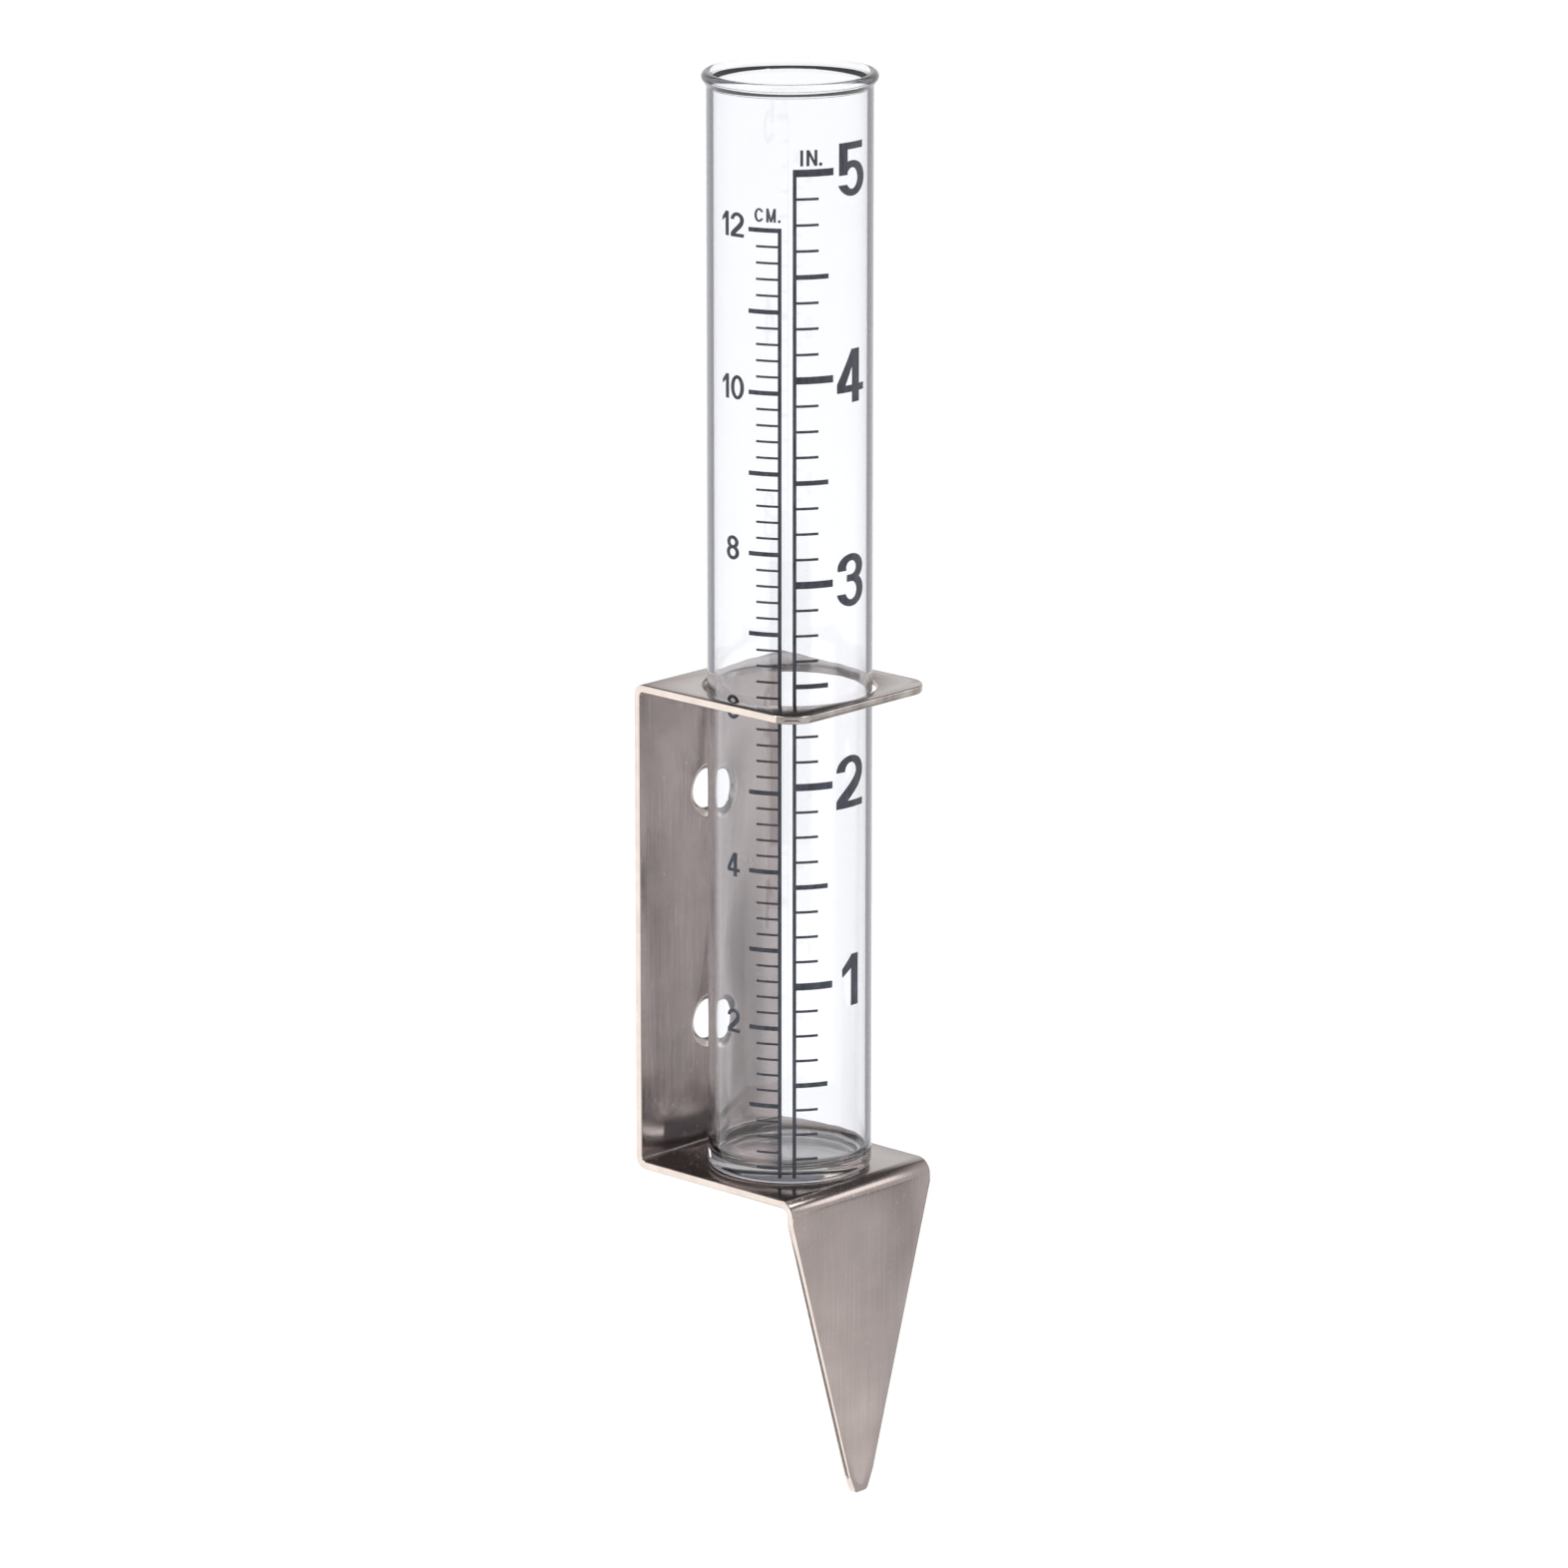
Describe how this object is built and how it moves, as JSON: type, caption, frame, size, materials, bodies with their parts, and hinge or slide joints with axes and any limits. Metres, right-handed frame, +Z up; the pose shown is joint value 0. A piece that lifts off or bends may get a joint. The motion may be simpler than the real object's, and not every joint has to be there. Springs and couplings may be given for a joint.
{
  "type": "manual rain gauge",
  "caption": "Glass measuring tube with printed inch and centimetre scales, standing in a folded steel bracket with a ring, screw holes and a ground stake.",
  "frame": {"origin": "midway between the two screw holes, on the back face of the bracket's plate", "axes": "+Z up along the tube, +Y from the bracket into the wall or post, so the bracket faces -Y"},
  "size_m": [0.0254, 0.027, 0.1787],
  "materials": {
    "steel": "satin stainless steel sheet with a fine grain and bright sheared edges",
    "glass": "clear soda-lime glass with a fire-polished lip",
    "ink": "dark blue-black screen-printed ink, slightly glossy",
    "ink_fine": "thin, slightly greyer screen-printed ink of the unit labels"
  },
  "bodies": {
    "bracket": {"bracket": "steel"},
    "tube": {"glass_tube": "glass", "inch_scale_lines": "ink", "cm_scale_lines": "ink", "inch_scale_numerals": "ink", "cm_scale_numerals": "ink", "inch_unit_label": "ink", "cm_unit_label": "ink_fine"}
  },
  "joints": [
    {"name": "tube_lift", "type": "slide", "parent": "bracket", "child": "tube", "axis": [0, 0, 1], "range_m": [0, 0.075]}
  ]
}
